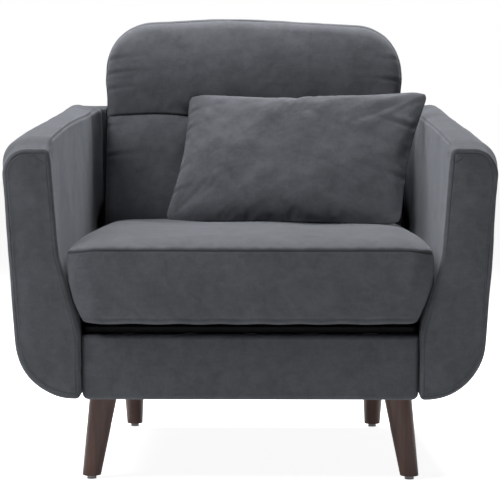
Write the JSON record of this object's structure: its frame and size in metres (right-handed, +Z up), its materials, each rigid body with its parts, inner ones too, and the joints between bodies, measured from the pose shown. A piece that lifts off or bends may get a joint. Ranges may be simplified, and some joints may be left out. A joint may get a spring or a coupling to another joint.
{
  "type": "upholstered armchair",
  "caption": "Upholstered armchair with a rounded box back, arms that wrap round to the back, a loose seat cushion, a lumbar pillow and tapered wooden legs.",
  "frame": {"origin": "on the floor, under the middle of the whole chair (middle of its width and depth)", "axes": "+X to the viewer's right when facing the front of the chair, +Y to the rear, +Z up"},
  "size_m": [0.8912, 0.8399, 0.8874],
  "materials": {
    "cover_fabric": "soft slate grey velvet-like weave",
    "lining_fabric": "black non-woven",
    "foam": "open cell foam",
    "fibre": "polyester fibre",
    "frame_wood": "unfinished hardwood",
    "leg_wood": "dark walnut stain, satin",
    "glide_plastic": "moulded nylon",
    "fixing_steel": "zinc plated",
    "spring_steel": "drawn wire",
    "clip_steel": "pressed strip",
    "webbing": "elastic webbing",
    "zip_tape": "woven tape",
    "zip_metal": "dark enamel"
  },
  "bodies": {
    "frame": {"back_bottom_rail": "frame_wood", "back_cover": "cover_fabric", "back_foam": "foam", "back_middle_rail": "frame_wood", "back_top_rail": "frame_wood", "back_webbing": "webbing", "corner_blocks": "frame_wood", "deck_cover": "lining_fabric", "deck_pad": "foam", "dust_cover": "lining_fabric", "frame_bolts": "fixing_steel", "front_left_leg": "leg_wood", "front_rail": "frame_wood", "front_rail_cover": "cover_fabric", "front_rail_padding": "foam", "front_right_leg": "leg_wood", "hanger_bolts": "fixing_steel", "left_arm_base_rail": "frame_wood", "left_arm_cover": "cover_fabric", "left_arm_foam": "foam", "left_arm_front_former": "frame_wood", "left_arm_front_panel": "cover_fabric", "left_arm_rear_former": "frame_wood", "left_arm_side_board": "frame_wood", "left_arm_top_rail": "frame_wood", "left_back_upright": "frame_wood", "left_side_rail": "frame_wood", "leg_glides": "glide_plastic", "leg_plate_screws": "fixing_steel", "leg_plates": "fixing_steel", "outside_back": "cover_fabric", "rear_left_leg": "leg_wood", "rear_rail": "frame_wood", "rear_right_leg": "leg_wood", "right_arm_base_rail": "frame_wood", "right_arm_cover": "cover_fabric", "right_arm_foam": "foam", "right_arm_front_former": "frame_wood", "right_arm_front_panel": "cover_fabric", "right_arm_rear_former": "frame_wood", "right_arm_side_board": "frame_wood", "right_arm_top_rail": "frame_wood", "right_back_upright": "frame_wood", "right_side_rail": "frame_wood", "sinuous_springs": "spring_steel", "spring_clips": "clip_steel", "spring_tie_wires": "spring_steel", "tee_nuts": "fixing_steel"},
    "seat_cushion": {"seat_cushion_cover": "cover_fabric", "seat_cushion_wrap": "fibre", "seat_cushion_foam": "foam", "seat_zip_tape": "zip_tape"},
    "seat_zip_slider": {"seat_zip_slider": "zip_metal"},
    "seat_zip_pull": {"seat_zip_pull": "zip_metal"},
    "pillow": {"pillow_cover": "cover_fabric", "pillow_insert": "fibre"}
  },
  "joints": [
    {"name": "seat_cushion_lift", "type": "slide", "parent": "frame", "child": "seat_cushion", "axis": [0, 0, 1], "range_m": [0, 0.5]},
    {"name": "pillow_lift", "type": "slide", "parent": "seat_cushion", "child": "pillow", "axis": [0, 0, 1], "range_m": [0, 0.35]},
    {"name": "seat_zip_slide", "type": "slide", "parent": "seat_cushion", "child": "seat_zip_slider", "axis": [1, 0, 0], "range_m": [0, 0.48]},
    {"name": "seat_zip_pull_swing", "type": "hinge", "parent": "seat_zip_slider", "child": "seat_zip_pull", "pos_m": [-0.24, 0.1643, 0.352], "axis": [0, 1, 0], "range_deg": [-45, 45]}
  ]
}
